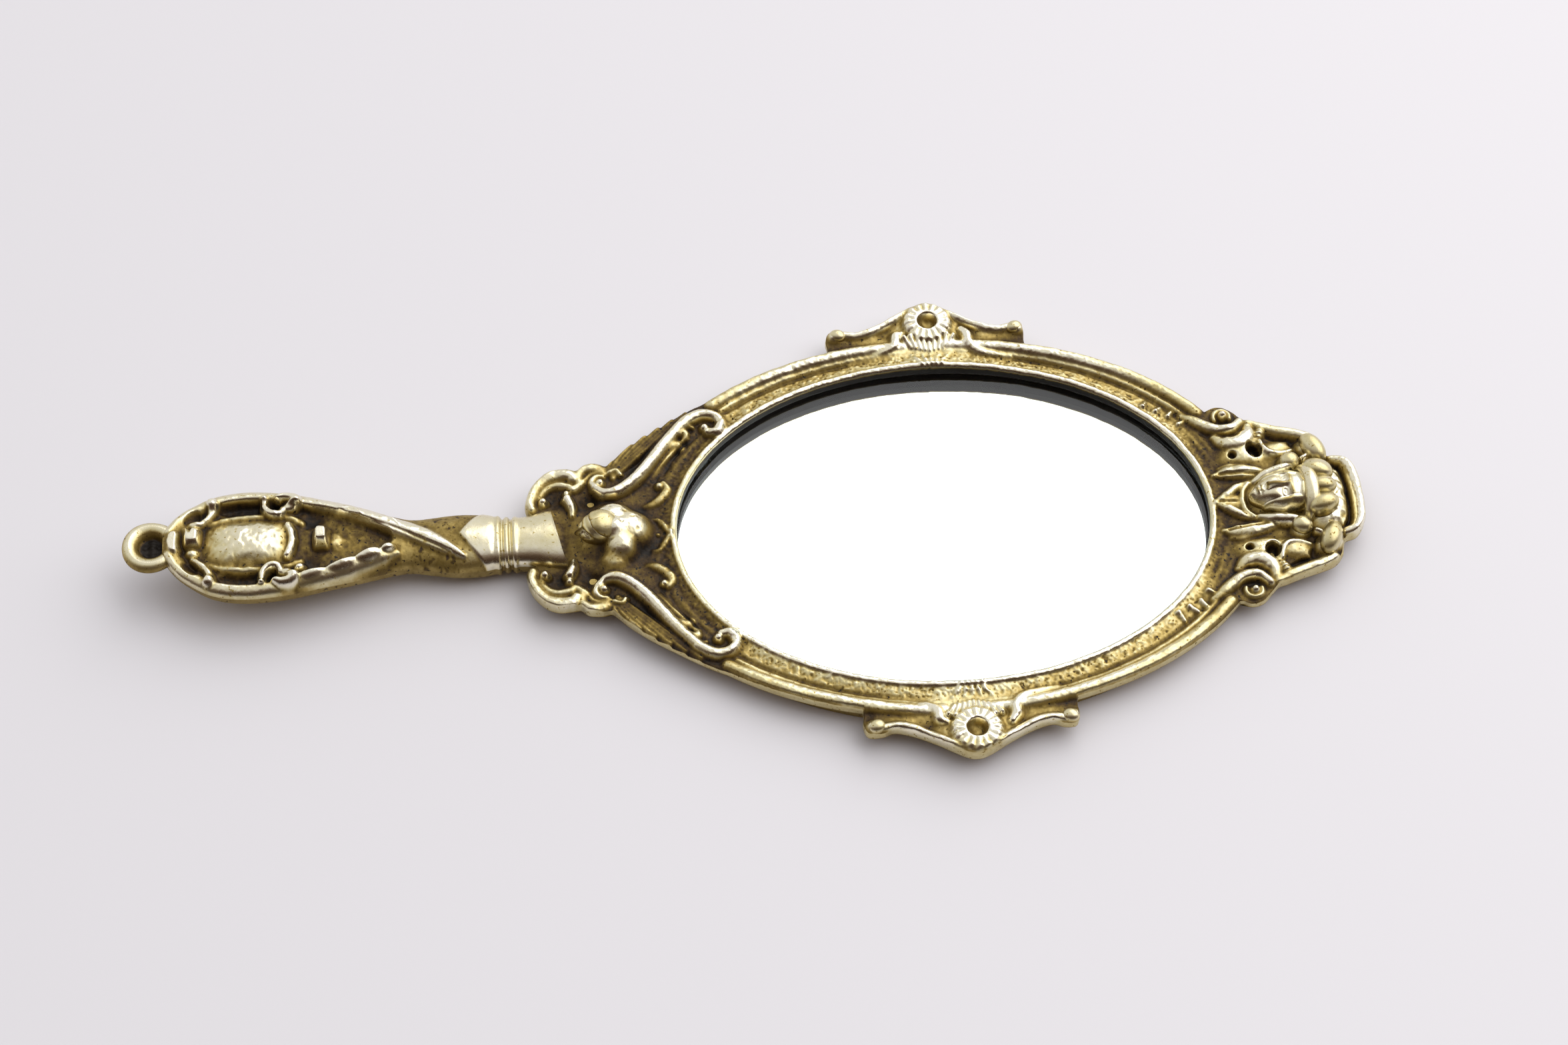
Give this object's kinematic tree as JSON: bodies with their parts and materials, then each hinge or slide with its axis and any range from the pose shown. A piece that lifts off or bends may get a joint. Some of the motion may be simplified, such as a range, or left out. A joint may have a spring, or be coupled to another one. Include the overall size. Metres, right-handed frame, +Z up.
{
  "type": "hand mirror",
  "caption": "Ornate cast brass hand mirror: oval glass in a scrolled, figured frame, with a spoon-shaped handle that ends in a small blind eye.",
  "frame": {"origin": "middle of the bounding box, on the plane that the back of the frame lies on", "axes": "+X along the mirror from the eye at the end of the handle to the crest, +Y across it to the left, +Z up out of the glass"},
  "size_m": [0.2486, 0.1108, 0.0127],
  "materials": {
    "cast_brass": "antique, worn bright on the high relief, dark in the recesses",
    "sheet_brass": "aged, brushed",
    "screw_brass": "turned",
    "clear_glass": "polished",
    "silvering": "polished",
    "felt": "matte",
    "card": "matte grey card"
  },
  "bodies": {
    "root": {"frame_casting": "cast_brass", "handle_casting": "cast_brass", "mirror_glass": "clear_glass", "silver_coating": "silvering", "edge_packing": "felt", "backing_card": "card", "back_plate": "sheet_brass", "back_plate_screws": "screw_brass"}
  },
  "joints": []
}
